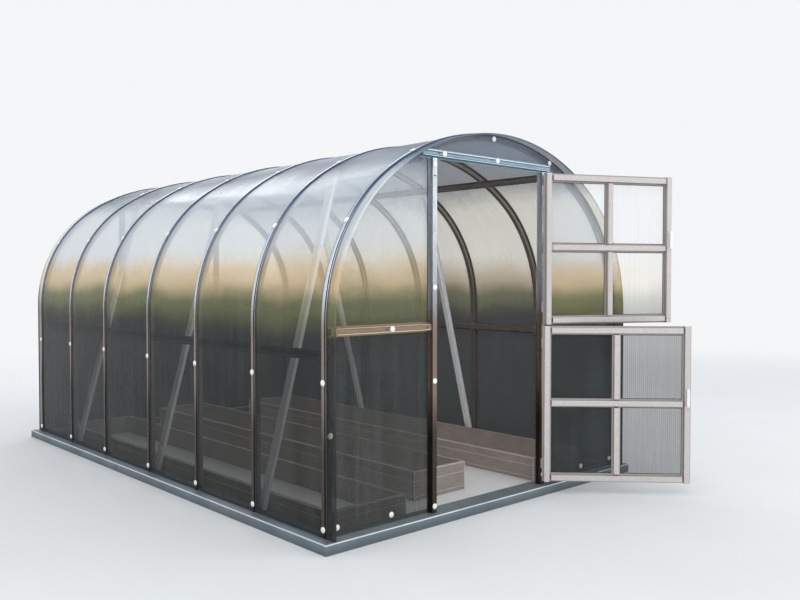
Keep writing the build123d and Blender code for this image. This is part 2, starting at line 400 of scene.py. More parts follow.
class Coat(Draft):
    """Drafts a material round one Principled shader."""

    def __init__(self, material: bpy.types.Material) -> None:
        """Lay the shader and its output, and read the place in the frame, which is the object's own.

        Args:
            material: The material, whose nodes are laid anew.
        """
        super().__init__(blank_tree(material))
        self.shader, self.output = self.add("BsdfPrincipled"), self.add("OutputMaterial")
        self.give(self.output, Surface=self.shader.outputs[0])
        self.spot = self.add("TexCoord").outputs["Object"]

    def wear(self, **values: object) -> None:
        """Feed the shader's own inputs by name."""
        self.give(self.shader, **values)

    def patch(self, scale: float, spread: float) -> Socket:
        """Soft patches of a scale, blurred by their spread."""
        return self.effect(Mottle, Vector=self.spot, Scale=scale, Spread=spread)["Patch"]

    def streak(self, stretch: Triple) -> Socket:
        """Fine streaks, narrow where the stretch is large."""
        return self.effect(Brushed, Vector=self.spot, Stretch=stretch)["Streak"]

    def dust(self, amount: float) -> Socket:
        """Dust on faces turned up."""
        return self.effect(Dust, Vector=self.spot, Amount=amount)["Dust"]

    def rise(self, low: float, high: float, wobble: float = 0.2) -> Socket:
        """Mask that is full up to the low height and gone at the high one."""
        return self.effect(Rise, Vector=self.spot, Low=low, High=high, Wobble=wobble)["Mask"]

    def bump(self, height: Socket, depth: float) -> None:
        """Raise the surface by a height map from 0 to 1, as deep as given in metres."""
        self.wear(Normal=self.give(self.add("Bump"), Distance=depth, Height=height).outputs[0])


# ---------------------------------------------------------------- finishes


@dataclass(frozen=True)
class Finish:
    """A surface finish that makes one material."""

    name: str

    def material(self) -> bpy.types.Material:
        """Give the finish's material, and build it on the first call.

        Returns:
            The material with its node tree.
        """
        made = bpy.data.materials.get(self.name)
        if made is None:
            made = bpy.data.materials.new(self.name)
            self.fill(Coat(made))
        return made

    def fill(self, coat: Coat) -> None:
        """Feed the shader; each kind of finish has its own way."""
        raise NotImplementedError


@dataclass(frozen=True)
class SteelFinish(Finish):
    """Zinc-coated rolled steel that takes by a share, each in its band of heights, a painted warm reflection, painted
    shade low down and a painted sky reflection at the top; a share of 0 leaves it out.
    """

    light: Colour = tone(196, 200, 206)
    dark: Colour = tone(150, 156, 164)
    metallic: float = 0.85
    smooth: float = 0.26
    rough: float = 0.42
    stretch: Triple = (220.0, 12.0, 220.0)
    flakes: float = 160.0
    rolled: float = 0.55
    gloss_steps: Pair = (0.1, 0.9)
    dust: float = 0.25
    dusty: Colour = tone(150, 148, 142)
    # Height bands of painted reflection and painted shade.
    painted_warm_reflection: float = 0.0
    painted_warm_reflection_colour: Colour = tone(138, 108, 72)
    painted_warm_reflection_band: Pair = (1.06, 1.34)
    painted_low_shade: float = 0.0
    painted_low_shade_colour: Colour = tone(58, 54, 50)
    painted_low_shade_band: Pair = (0.45, 0.82)
    crest: float = 0.0
    crested: Colour = tone(84, 102, 128)
    crest_band: Pair = (1.72, 2.02)
    recess: Triple = (0.0, 0.0, 0.0)
    recess_band: Pair = (0.0, 0.0)
    recess_shade_colour: Colour = tone(172, 164, 160)
    relief: float = 0.00012

    def fill(self, coat: Coat) -> None:
        """Flakes and rolling streaks vary the colour, gloss and relief; height bands paint reflections and shade on the
        zinc.

        Args:
            coat: Draft of the material.
        """
        flake = coat.effect(Spangle, Vector=coat.spot, Scale=self.flakes)["Flake"]
        shade = coat.weigh(coat.streak(self.stretch), flake, self.rolled)
        colour = coat.blend(coat.dust(self.dust), coat.blend(shade, self.dark, self.light), self.dusty)
        # Painted warm reflection in a middle band, painted shade low down.
        for share, band, painted_tone in (
            (self.painted_warm_reflection, self.painted_warm_reflection_band, self.painted_warm_reflection_colour), (self.painted_low_shade, self.painted_low_shade_band, self.painted_low_shade_colour),
        ):
            if share:
                colour = coat.blend(coat.math("MULTIPLY", coat.rise(*band), share), colour, painted_tone)
        # Painted sky reflection at the top.
        if self.crest:
            top = coat.math("MULTIPLY_ADD", coat.rise(*self.crest_band), -self.crest, self.crest)
            colour = coat.blend(top, colour, self.crested)
        # Painted shade deep in the recess.
        if any(self.recess):
            recess_shade = coat.ramp(coat.vector("DOT_PRODUCT", coat.spot, self.recess), *self.recess_band, 1.0, 0.0)
            colour = coat.blend(recess_shade, colour, self.recess_shade_colour)
        gloss = coat.ramp(shade, *self.gloss_steps, self.rough, self.smooth)
        coat.wear(Base_Color=colour, Roughness=gloss, Metallic=self.metallic)
        coat.bump(shade, self.relief)


@dataclass(frozen=True)
class SheetFinish(Finish):
    """Clear fluted twin-wall sheet with painted shade and painted reflections whose colour and density change with
    height.
    """

    across: Triple = (0.0, 1.0, 0.0)
    pitch: float = 0.0125
    web_width: float = 0.3
    swell: float = 0.0002
    # Painted light: cream, middle and olive stand in for the warm and green light that the sheet reflects and lets
    # through, the dark shade colour is painted shade low down, and slate is a painted sky reflection towards the ridge.
    pale: Colour = tone(222, 232, 240)
    cream: Colour = tone(244, 226, 178)
    middle: Colour = tone(230, 205, 158)
    olive: Colour = tone(118, 120, 72)
    painted_shade: Colour = tone(8, 18, 14)
    slate: Colour = tone(96, 112, 132)
    rib: Colour = tone(126, 130, 126)
    bloom: Colour = tone(206, 218, 226)
    bloomed: float = 0.06
    painted_tint_band: Pair = (0.80, 1.72)
    crest_band: Triple = (1.86, 2.08, 0.14)
    middle_steps: Pair = (0.05, 0.26)
    olive_steps: Pair = (0.34, 0.56)
    painted_shade_steps: Pair = (0.56, 0.86)
    painted_shade_density_steps: Pair = (0.3, 0.8)
    within_steps: Pair = (0.04, 0.5)
    patches: Pair = (2.6, 0.22)
    broad_streak: Pair = (18.0, 0.9)
    fine_streak: Pair = (60.0, 0.8)
    thin: float = 0.12
    dense: float = 0.30
    crest: float = 0.20
    web: float = 0.10
    comb: float = 0.05
    depth: float = 0.38
    haze: float = 0.03
    edge_gloss: float = 0.6
    calm: float = 0.75
    unshaded: float = 0.97
    gleam: Pair = (0.07, 0.2)
    crest_rough: float = 0.3
    glaze: float = 0.32
    veiled: float = 0.3

    def fill(self, coat: Coat) -> None:
        """Webs, painted shade, painted reflections and soft patches vary the colour, clearness and gloss.

        Args:
            coat: Draft of the material.
        """
        coordinate = coat.vector("DOT_PRODUCT", coat.spot, self.across)
        flutes = coat.effect(Flutes, Coordinate=coordinate, Pitch=self.pitch, Web=self.web_width)
        # Mask for painted shade and painted reflections by height: full low down, gone high up.
        painted_tint = coat.rise(*self.painted_tint_band)
        crest = coat.math("SUBTRACT", 1.0, coat.rise(*self.crest_band))
        broad, fine = (
            coat.streak(tuple(wide * a + base for a in self.across))
            for wide, base in (self.broad_streak, self.fine_streak)
        )
        cloud = coat.weigh(coat.patch(*self.patches), broad, 0.5)
        inner = self.inner(coat)
        facing = coat.give(coat.add("LayerWeight"), Blend=0.5).outputs["Facing"]
        line = coat.math("MULTIPLY", flutes["Line"], coat.math("SUBTRACT", 1.0, facing))
        # Painted warm reflection: creamier on the side that faces the middle.
        body = coat.blend(inner, self.pale, self.cream)
        # Painted reflections higher up, then painted shade low down.
        for steps, colour in (
            (self.middle_steps, self.middle), (self.olive_steps, self.olive), (self.painted_shade_steps, self.painted_shade),
        ):
            body = coat.blend(coat.ramp(painted_tint, *steps), body, colour)
        # Painted sky reflection towards the ridge.
        body = coat.blend(crest, body, self.slate)
        body = coat.blend(coat.math("MULTIPLY", cloud, self.bloomed), body, self.bloom)
        ribbed = coat.math("MULTIPLY_ADD", fine, self.comb * 2, coat.math("MULTIPLY", line, self.web))
        # The painted shade is also denser low down.
        painted_shade_density = coat.ramp(painted_tint, *self.painted_shade_density_steps)
        # The painted shade is denser still on the side that faces the middle of the house.
        within = coat.math("MULTIPLY", coat.ramp(painted_tint, *self.within_steps), inner)
        alpha = coat.math("MULTIPLY_ADD", painted_shade_density, self.dense - self.thin, self.thin)
        for mask, amount in (
            (within, self.depth), (crest, self.crest), (line, self.web), (fine, self.comb), (cloud, self.haze),
        ):
            alpha = coat.math("MULTIPLY_ADD", mask, amount, alpha)
        calmed = coat.math("MULTIPLY_ADD", crest, -self.calm, 1.0)
        mirror = coat.math("MULTIPLY", coat.math("POWER", facing, 4.0), calmed)
        alpha = coat.math("MULTIPLY_ADD", mirror, self.edge_gloss, alpha, clamp=True)
        shadow = coat.add("LightPath").outputs["Is Shadow Ray"]
        alpha = coat.math("MULTIPLY", alpha, coat.math("MULTIPLY_ADD", shadow, -self.unshaded, 1.0))
        gleam = coat.math("MULTIPLY_ADD", crest, self.crest_rough, coat.ramp(cloud, 0.0, 1.0, *self.gleam))
        glaze = coat.math("MULTIPLY_ADD", coat.math("MAXIMUM", crest, painted_shade_density), -self.veiled, self.glaze)
        coat.wear(
            Base_Color=coat.blend(ribbed, body, self.rib), Alpha=alpha, Roughness=gleam, IOR=1.5,
            Specular_IOR_Level=0.2, Coat_Weight=glaze, Coat_Roughness=0.04,
        )
        coat.bump(flutes["Swell"], self.swell)

    @staticmethod
    def inner(coat: Coat) -> Socket:
        """Tell the side that faces the middle of the house, where the painted shade is denser and the painted
        reflection creamier, from the outer side.

        Args:
            coat: Draft of the material.

        Returns:
            Mask that is one on that side.
        """
        ray = coat.vector("SUBTRACT", coat.spot, MIDDLE)
        side = coat.vector("DOT_PRODUCT", ray, coat.add("NewGeometry").outputs["Normal"])
        return coat.math("LESS_THAN", side, 0.0)


@dataclass(frozen=True)
class BeamFinish(Finish):
    """Grey coated base beam with painted shade on its upright faces near the ground."""

    light: Colour = tone(120, 136, 144)
    dark: Colour = tone(98, 113, 121)
    dusty: Colour = tone(132, 130, 122)
    foot_shade_colour: Colour = tone(84, 92, 96)
    patches: Pair = (5.0, 0.25)
    grain: Pair = (260.0, 0.3)
    grained: float = 0.25
    dust: float = 0.35
    foot_shade_band: Triple = (0.01, 0.052, 0.012)
    foot_shade: float = 0.7
    gloss: Pair = (0.52, 0.36)
    metallic: float = 0.25
    relief: float = 0.00015

    def fill(self, coat: Coat) -> None:
        """Patches, fine grain and painted shade near the ground.

        Args:
            coat: Draft of the material.
        """
        grain = coat.patch(*self.grain)
        shade = coat.weigh(grain, coat.patch(*self.patches), self.grained)
        colour = coat.blend(coat.dust(self.dust), coat.blend(shade, self.dark, self.light), self.dusty)
        # Painted shade: the upright faces below the top are darker than the lit top.
        foot = coat.math("MULTIPLY", coat.rise(*self.foot_shade_band), self.foot_shade)
        gloss = coat.ramp(shade, 0.0, 1.0, *self.gloss)
        coat.wear(Base_Color=coat.blend(foot, colour, self.foot_shade_colour), Roughness=gloss, Metallic=self.metallic)
        coat.bump(grain, self.relief)


@dataclass(frozen=True)
class BoardFinish(Finish):
    """Grey-brown extruded board with a fine lengthwise grain."""

    light: Colour = tone(170, 158, 152)
    dark: Colour = tone(138, 127, 122)
    dusty: Colour = tone(170, 160, 150)
    stretch: Triple = (9.0, 9.0, 420.0)
    patches: Pair = (6.0, 0.3)
    streaked: float = 0.6
    dust: float = 0.3
    gloss: Pair = (0.7, 0.5)
    relief: float = 0.0004

    def fill(self, coat: Coat) -> None:
        """Grain lines, patches and dust.

        Args:
            coat: Draft of the material.
        """
        streak = coat.streak(self.stretch)
        shade = coat.weigh(streak, coat.patch(*self.patches), self.streaked)
        colour = coat.blend(coat.dust(self.dust), coat.blend(shade, self.dark, self.light), self.dusty)
        coat.wear(Base_Color=colour, Roughness=coat.ramp(streak, 0.0, 1.0, *self.gloss))
        coat.bump(streak, self.relief)


@dataclass(frozen=True)
class MouldedFinish(Finish):
    """Moulded plastic or rubber with a fine texture."""

    light: Colour = tone(240, 240, 238)
    dark: Colour = tone(222, 222, 218)
    smooth: float = 0.32
    rough: float = 0.46
    patches: Pair = (40.0, 0.25)
    grain: Pair = (480.0, 0.3)
    relief: float = 0.00008

    def fill(self, coat: Coat) -> None:
        """Fine moulding texture and soft yellowing patches.

        Args:
            coat: Draft of the material.
        """
        grain = coat.patch(*self.grain)
        colour = coat.blend(coat.patch(*self.patches), self.dark, self.light)
        coat.wear(Base_Color=colour, Roughness=coat.ramp(grain, 0.0, 1.0, self.smooth, self.rough))
        coat.bump(grain, self.relief)


ROOF_SHEET = SheetFinish("clear roof sheet", web=0.02, comb=0.015, thin=0.28, dense=0.38)
WALL_SHEET = SheetFinish("clear wall sheet", across=(1.0, 0.0, 0.0), pitch=0.014, dense=0.36, web=0.28)
PANE = SheetFinish("clear pane", thin=0.06, depth=0.0, crest=0.0, web=0.08, comb=0.02)
SHEET_END = SheetFinish("closed sheet end", thin=0.4, dense=0.7)
GALVANISED = SteelFinish("galvanised steel")
# The cover strips take a painted warm reflection, painted shade low down and a painted sky reflection at the top.
STRIP_CROWN = SteelFinish(
    "cover strip crown", light=tone(226, 232, 240), dark=tone(194, 202, 214), smooth=0.2, rough=0.34,
    painted_warm_reflection=0.8, painted_warm_reflection_colour=tone(126, 94, 60), painted_low_shade=0.8, painted_low_shade_colour=tone(46, 46, 40), crest=0.6,
)
# Darker copy of the strip steel for its side walls: painted shade.
STRIP_SHADED_SIDE = SteelFinish(
    "cover strip painted shade side", light=tone(84, 96, 114), dark=tone(58, 68, 86), rough=0.4, painted_warm_reflection=0.6,
    painted_warm_reflection_colour=tone(52, 44, 36), painted_low_shade=0.85, painted_low_shade_colour=tone(24, 26, 24), crest=0.5, crested=tone(50, 60, 80),
)
# The golden-brown tone of the rails is a painted warm reflection.
RAIL_STEEL = SteelFinish(
    "rail steel", light=tone(158, 132, 100), dark=tone(124, 102, 76), metallic=0.6, stretch=(14.0, 220.0, 220.0),
)
LINTEL_STEEL = SteelFinish(
    "lintel steel", light=tone(114, 138, 152), dark=tone(94, 118, 134), stretch=(6.0, 220.0, 220.0), smooth=0.24,
    metallic=0.6,
)
# Near-white struts: painted light, so they stay bright inside the shaded house.
STRUT_STEEL = SteelFinish("strut steel", light=tone(248, 248, 250), dark=tone(226, 226, 230), metallic=0.15, rough=0.4)
# Painted shadow lines and painted highlights for the lintel and rails.
SHADOW_LINE = SteelFinish("painted shadow line", light=tone(62, 78, 92), dark=tone(42, 56, 68), metallic=0.4)
HIGHLIGHT_LINE = SteelFinish("painted highlight line", light=tone(226, 232, 238), dark=tone(204, 212, 220), metallic=0.4)
# The arches' dark tone is a painted dark reflection of the ground.
ARCH_STEEL = SteelFinish(
    "arch steel", light=tone(150, 142, 138), dark=tone(88, 84, 82), smooth=0.3, rough=0.46, metallic=0.5,
)
DOOR_STEEL = SteelFinish(
    "door frame steel", light=tone(214, 208, 205), dark=tone(198, 192, 190), metallic=0.45, smooth=0.32, rough=0.46,
    stretch=(60.0, 60.0, 60.0), relief=0.00004,
)
# Posts: painted warm reflection in a middle band and painted shade low down.
POST_STEEL = SteelFinish(
    "post steel", light=tone(178, 182, 190), dark=tone(134, 138, 146), smooth=0.22, rough=0.36,
    stretch=(220.0, 220.0, 12.0), painted_warm_reflection=0.7, painted_warm_reflection_colour=tone(122, 92, 58), painted_low_shade=0.85, painted_low_shade_colour=tone(44, 42, 36),
)
BEAM = BeamFinish("base beam coat")
# Painted highlight along the base beams' upper edge.
BEAM_HIGHLIGHT = BeamFinish("base beam painted highlight", light=tone(224, 230, 238), dark=tone(204, 212, 222))
BOARD = BoardFinish("bed board")
# Painted highlights on the beds' raised lines, rim and corners.
BOARD_HIGHLIGHT = BoardFinish("bed board painted highlight", light=tone(224, 220, 219), dark=tone(202, 196, 195))
WHITE = MouldedFinish("white moulded plastic", light=tone(250, 250, 248), dark=tone(238, 238, 235))
RUBBER = MouldedFinish("black rubber seal", light=tone(46, 48, 50), dark=tone(30, 32, 34), smooth=0.5, rough=0.7)
SLOT_DARK = MouldedFinish("slot shade", light=tone(26, 28, 30), dark=tone(16, 18, 20), smooth=0.6, rough=0.8)


# ---------------------------------------------------------------- mesh building

SHARP = math.radians(32.0)


class Shape:
    """Collects geometry in one mesh and turns it into a dressed piece."""

    def __init__(self, name: str) -> None:
        """Start an empty mesh."""
        self.name = name
        self.mesh = bmesh.new()

    def ring(self, points: Sequence[Vector]) -> Row:
        """Add one row of points and give its vertices."""
        return [self.mesh.verts.new(p) for p in points]

    def skin(self, rings: Sequence[Row], loop: bool = False, bands: Sequence[int] = ()) -> None:
        """Join closed rows of vertices with faces.

        Args:
            rings: The rows, each with the same count.
            loop: Whether the last row joins the first.
            bands: Number of the finish between each two neighbours in a row, or nothing for one finish.
        """
        pairs = list(zip(rings, rings[1:])) + ([(rings[-1], rings[0])] if loop else [])
        for one, two in pairs:
            for i in range(len(one)):
                j = (i + 1) % len(one)
                face = self.mesh.faces.new((one[i], one[j], two[j], two[i]))
                face.material_index = bands[i] if bands else 0

    def sweep(
        self, profile: Sequence[Pair], stations: Sequence[Station], loop: bool = False, bands: Sequence[int] = (),
    ) -> None:
        """Carry a closed profile along stations.

        Args:
            profile: Points (across, out) of the section.
            stations: Origin, across and out directions of each place.
            loop: Whether the path closes on itself.
            bands: Number of the finish on each side of the section, or nothing for one finish.
        """
        rings = [self.ring([o + u * a + v * b for a, b in profile]) for o, u, v in stations]
        self.skin(rings, loop, bands)
        if not loop:
            self.mesh.faces.new(rings[0])
            self.mesh.faces.new(list(reversed(rings[-1])))

    def turned(self, profile: Sequence[Pair], centre: Vector, axis: Vector, sides: int) -> None:
        """Turn a profile about an axis, closed at both ends.

        Args:
            profile: Points (radius, height) from the foot to the top.
            centre: Foot of the axis.
            axis: Direction of the axis.
            sides: Number of sides.
        """
        turn = axis.to_track_quat("Z", "Y").to_matrix()
        angles = [2 * math.pi * i / sides for i in range(sides)]
        rings = [
            self.ring([centre + turn @ Vector((r * math.cos(t), r * math.sin(t), height)) for t in angles])
            for r, height in profile
        ]
        self.skin(rings)
        self.mesh.faces.new(rings[0])
        self.mesh.faces.new(rings[-1])

    def bar(self, start: Vector, end: Vector, out: Vector, wide: float, tall: float, edge: float = 0.0004) -> None:
        """Lay a flat bar with softened edges.

        Args:
            start: Middle of its foot at one end.
            end: Middle of its foot at the other end.
            out: Direction in which it stands.
            wide: Width across.
            tall: Height along out.
            edge: Size of the softened edge.
        """
        across = out.cross((end - start).normalized()).normalized()
        w, e = wide / 2, min(edge, tall / 2, wide / 4)
        profile = [(-w, 0), (-w, tall - e), (-w + e, tall), (w - e, tall), (w, tall - e), (w, 0)]
        self.sweep(profile, [(start, across, out), (end, across, out)])

    def hoop(self, corners: Sequence[Vector], out: Vector, wide: float, tall: float) -> None:
        """Lay a mitred flat bead round a rectangle.

        Args:
            corners: Outer corners in order.
            out: Direction in which the bead stands.
            wide: Width of the bead, towards the middle.
            tall: Height of the bead.
        """
        stations: list[Station] = []
        for i, corner in enumerate(corners):
            before = (corner - corners[i - 1]).normalized()
            after = (corners[(i + 1) % len(corners)] - corner).normalized()
            stations.append((corner, after - before, out))
        e = tall / 3
        profile = [(0, 0), (0, tall - e), (e, tall), (wide - e, tall), (wide, tall - e), (wide, 0)]
        self.sweep(profile, stations, loop=True)

    def finish(
        self, finish: Finish, slot: Slot, body: Body = Body.ROOT, second: Finish | None = None,
    ) -> bpy.types.Object:
        """Turn the mesh into a piece, dress it and let it ride.

        Args:
            finish: The piece's finish.
            slot: The record's slot that the finish comes from; it is not used.
            body: The body that carries it.
            second: The finish of the bands numbered 1.

        Returns:
            The new piece.
        """
        bmesh.ops.recalc_face_normals(self.mesh, faces=self.mesh.faces[:])
        for face in self.mesh.faces:
            face.smooth = True
        for edge in self.mesh.edges:
            edge.smooth = len(edge.link_faces) == 2 and edge.calc_face_angle(0.0) < SHARP
        data = bpy.data.meshes.new(self.name)
        self.mesh.to_mesh(data)
        self.mesh.free()
        for each in (finish, second):
            if each is not None:
                data.materials.append(each.material())
        made = stand(self.name, data)
        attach(made, body.value)
        log.info("%s: %d faces on %s", self.name, len(data.polygons), body.value)
        return made


def dress(frame: dict, finish: Finish, *nodes: str) -> None:
    """Give CAD nodes a finish.

    Args:
        frame: The loaded frame.
        finish: The finish that they get.
        nodes: Names of the nodes.
    """
    for name in nodes:
        node = frame["nodes"][name]
        if not node.material_slots:
            node.data.materials.append(finish.material())
        for slot in node.material_slots:
            slot.material = finish.material()
        log.info("%s wears %s", name, finish.name)


# ---------------------------------------------------------------- shared lines and fittings


@dataclass(frozen=True)
class ArchLine:
    """Outer line of the roof sheet: upright legs, two side arcs and a crown arc."""

    half: float = 1.275
    spring: float = 1.138
    rise: float = 1.086
    turn: float = 37.0
    foot: float = 0.055
    side_steps: int = 18
    crown_steps: int = 28
    rows: tuple[float, ...] = (0.028, 0.684, 1.340, 1.996, 2.714, 3.370, 4.026)

    @property
    def step(self) -> float:
        """Difference of the two radii."""
        t = math.radians(self.turn)
        return (self.half - self.rise) / (math.sin(t) + math.cos(t) - 1)

    @property
    def side(self) -> float:
        """Radius of the side arcs."""
        return self.half - self.step * math.sin(math.radians(self.turn))

    def at(self, lean: float, y: float, out: float = 0.0) -> tuple[Vector, Vector]:
        """Point and outward direction where the line leans by an angle.

        Args:
            lean: Angle from straight up in degrees, right positive.
            y: Place along the greenhouse.
            out: Distance outside the line.

        Returns:
            The point and the outward direction.
        """
        radius, a = self.side, math.radians(lean)
        centre = Vector((math.copysign(self.half - radius, lean), y, self.spring))
        if abs(lean) <= self.turn:
            radius += self.step
            centre = Vector((0, y, self.spring + self.rise - radius))
        normal = Vector((math.sin(a), 0, math.cos(a)))
        return centre + normal * (radius + out), normal

    def reach(self, z: float, inset: float) -> float:
        """Half width inside the line at a height.

        Args:
            z: Height over the ground.
            inset: Distance inside the line.

        Returns:
            Half of the clear width.
        """
        side, crown = self.side, self.side + self.step
        if z >= self.spring + side * math.cos(math.radians(self.turn)):
            return math.sqrt(max((crown - inset) ** 2 - (z - self.spring - self.rise + crown) ** 2, 0.0))
        if z > self.spring:
            return self.half - side + math.sqrt((side - inset) ** 2 - (z - self.spring) ** 2)
        return self.half - inset

    def stations(self, y: float, foot: float | None = None) -> list[Station]:
        """Stations from the left foot over the roof to the right foot.

        Args:
            y: Place along the greenhouse.
            foot: Height of the feet, or the usual one.

        Returns:
            Origin, across and out directions.
        """
        low = self.foot if foot is None else foot
        n, bend, crown = self.side_steps, 90 - self.turn, self.crown_steps
        leans = [-90 + i * bend / n for i in range(n)]
        leans += [-self.turn + i * 2 * self.turn / crown for i in range(crown + 1)]
        leans += [self.turn + (i + 1) * bend / n for i in range(n)]
        rows = [(Vector((-self.half, y, low)), REARWARD, -RIGHT)]
        rows += [(point, REARWARD, normal) for point, normal in (self.at(lean, y) for lean in leans)]
        rows.append((Vector((self.half, y, low)), REARWARD, RIGHT))
        return rows


@dataclass(frozen=True)
class Cap:
    """White domed cap over a screw, or a bare screw head; the dome gives shares of radius and height."""

    radius: float = 0.0165
    height: float = 0.0075
    dome: tuple[Pair, ...] = (
        (0.96, 0), (1, 0.16), (0.97, 0.34), (0.86, 0.62), (0.62, 0.86), (0.3, 0.97), (0.06, 1),
    )

    def lay(self, shape: Shape, centre: Vector, out: Vector) -> None:
        """Add one cap to a shape, on the surface at the centre, standing out."""
        shape.turned([(self.radius * a, self.height * b) for a, b in self.dome], centre, out, 24)


@dataclass(frozen=True)
class HexBolt:
    """Hexagon bolt head on a round washer."""

    across: float = 0.010
    head: float = 0.005
    washer: float = 0.009
    washer_top: float = 0.0015

    def lay(self, shape: Shape, centre: Vector, out: Vector) -> None:
        """Add one bolt.

        Args:
            shape: The shape that collects the bolts.
            centre: Place on the surface that carries it.
            out: Direction in which it stands.
        """
        w, top, r = self.washer, self.washer_top, self.across / math.sqrt(3)
        shape.turned([(w, 0), (w, top - 0.0005), (w * 0.94, top)], centre, out, 18)
        shape.turned([(r, top - 0.0001), (r, self.head * 0.86), (r * 0.86, self.head)], centre, out, 6)


LINE = ArchLine()
CAP = Cap()
SMALL_HEAD = Cap(radius=0.0055, height=0.0026)
BOLT = HexBolt()


# ---------------------------------------------------------------- sub-assemblies


@dataclass
class BaseFrame:
    """Wide base beams with a painted highlight along the upper edge and mitred corners."""

    frame: dict
    half_x: float = 1.341
    front: float = -0.070
    rear: float = 4.124
    top: float = 0.055
    nose: float = 0.007
    edge_half: float = 0.0006
    edge_degrees: tuple[int, ...] = (16, 30, 45, 60, 74)
    mitre: Pair = (0.008, 0.066)
    mitre_line: Pair = (0.0016, 0.0003)

    def corners(self) -> list[tuple[Vector, Vector]]:
        """Upper outer corners of the base frame in order, each with its direction inward."""
        places = ((-1, self.front, 1), (1, self.front, 1), (1, self.rear, -1), (-1, self.rear, -1))
        return [(Vector((x * self.half_x, y, self.top)), Vector((-x, into, 0))) for x, y, into in places]

    def build(self) -> None:
        """Dress the beams and add the painted highlight line and the mitre lines."""
        dress(self.frame, BEAM, "plinth_front", "plinth_rear", "plinth_left", "plinth_right")
        self.painted_highlight_line()
        self.mitre_lines()

    def painted_highlight_line(self) -> None:
        """Painted highlight line round the upper outer edge."""
        shape = Shape("base_painted_highlight_line")
        profile = [
            (self.nose - radius * math.cos(t), radius * math.sin(t) - self.nose)
            for radius, degrees in (
                (self.nose + self.edge_half, self.edge_degrees), (self.nose - self.edge_half, self.edge_degrees[::-1]),
            )
            for t in map(math.radians, degrees)
        ]
        shape.sweep(profile, [(corner, inward, UP) for corner, inward in self.corners()], loop=True)
        shape.finish(BEAM_HIGHLIGHT, Slot.BEAM)

    def mitre_lines(self) -> None:
        """Fine dark lines along the four mitres."""
        shape = Shape("base_mitre_lines")
        start, end = self.mitre
        for corner, inward in self.corners():
            shape.bar(corner + inward * start, corner + inward * end, UP, *self.mitre_line)
        shape.finish(SLOT_DARK, Slot.BEAM)


